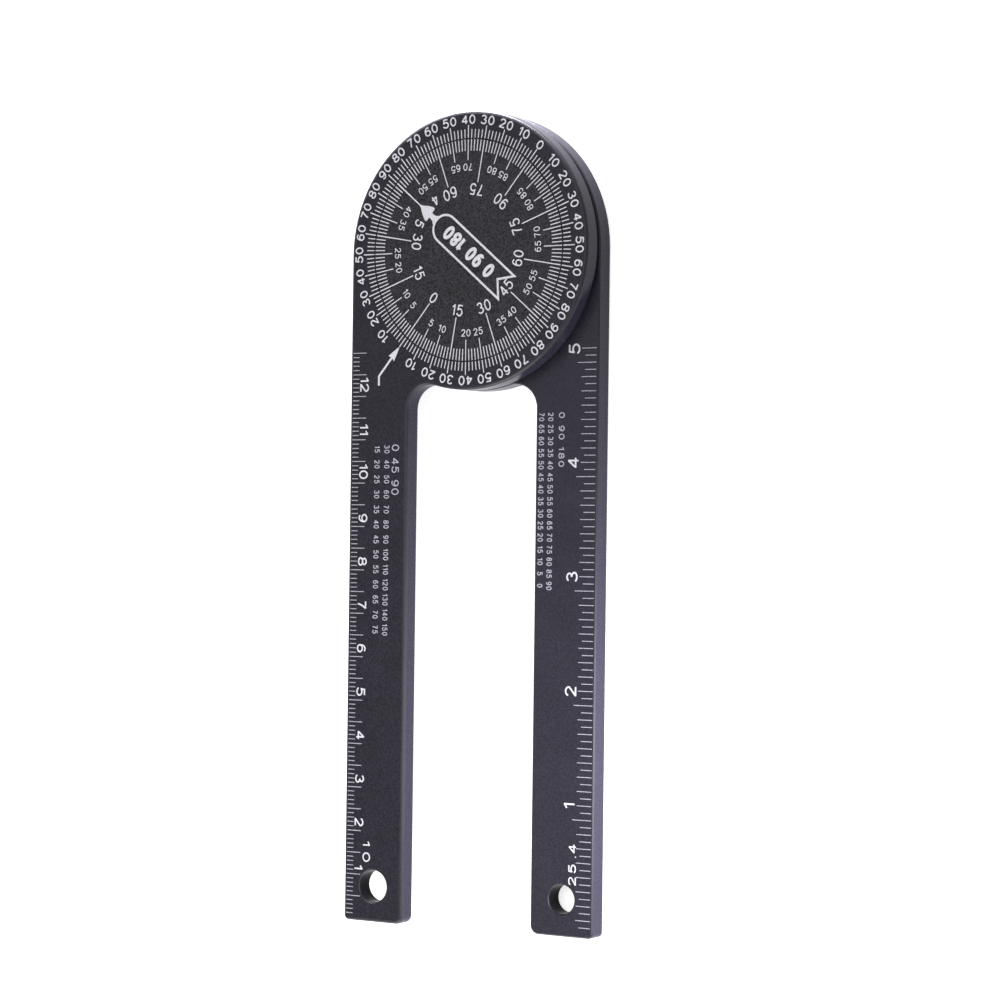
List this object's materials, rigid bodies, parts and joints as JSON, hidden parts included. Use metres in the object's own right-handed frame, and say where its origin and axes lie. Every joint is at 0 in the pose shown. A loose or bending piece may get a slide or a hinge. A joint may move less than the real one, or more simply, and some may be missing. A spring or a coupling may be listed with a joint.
{
  "type": "miter saw protractor",
  "caption": "Folding angle gauge with two graduated flat arms on a round dial that turns to read single-cut and miter settings.",
  "frame": {"origin": "on the pivot axis, in the rear arm's back face, on which the tool lies", "axes": "+Z along the pivot axis out of the dial's face, +Y from the pivot away from the closed arms, +X towards the rear arm's side"},
  "size_m": [0.0632, 0.185, 0.0101],
  "materials": {
    "rear_anodised": "black anodised, fine matt",
    "front_anodised": "black anodised, fine matt",
    "dial_anodised": "black anodised, fine matt",
    "slip_plastic": "black nylon",
    "spring_steel": "bright spring steel",
    "screw_steel": "black oxide",
    "mark_white": "white printed marks"
  },
  "bodies": {
    "rear_arm": {"base_arm": "rear_anodised", "dial": "dial_anodised", "slip_washer": "slip_plastic", "spring_washer": "spring_steel", "dial_screw_1": "screw_steel", "dial_screw_2": "screw_steel", "dial_screw_3": "screw_steel", "dial_screw_4": "screw_steel"},
    "front_arm": {"ring_arm": "front_anodised"}
  },
  "joints": [
    {"name": "arm_pivot", "type": "hinge", "parent": "rear_arm", "child": "front_arm", "pos_m": [0, 0, 0.0068], "axis": [0, 0, -1], "continuous": true}
  ]
}
